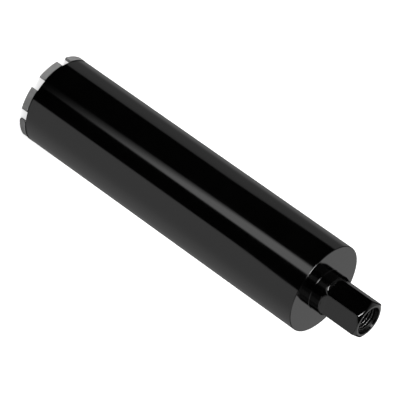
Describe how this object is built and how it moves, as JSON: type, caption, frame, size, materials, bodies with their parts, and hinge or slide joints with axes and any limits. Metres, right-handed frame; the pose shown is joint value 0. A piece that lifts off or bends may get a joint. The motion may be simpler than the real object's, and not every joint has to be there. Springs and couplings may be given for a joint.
{
  "type": "diamond core bit",
  "caption": "Wet diamond core bit: a gloss black steel barrel with sintered segments on its rim and a hexagonal hub with a female thread.",
  "frame": {"origin": "on the bit's axis, in the plane of the segments' cutting faces", "axes": "+Z along the axis from the crown to the hub, which is how the bit stands on its crown. Two spanner flats face +X and -X, and two corners of the hexagon lie on +Y and -Y"},
  "size_m": [0.114, 0.114, 0.4975],
  "materials": {
    "black_paint": "gloss",
    "sintered_segment": "satin"
  },
  "bodies": {
    "root": {"barrel_tube": "black_paint", "end_plate": "black_paint", "hub": "black_paint", "segment_1": "sintered_segment", "segment_2": "sintered_segment", "segment_3": "sintered_segment", "segment_4": "sintered_segment", "segment_5": "sintered_segment", "segment_6": "sintered_segment", "segment_7": "sintered_segment", "segment_8": "sintered_segment"}
  },
  "joints": []
}
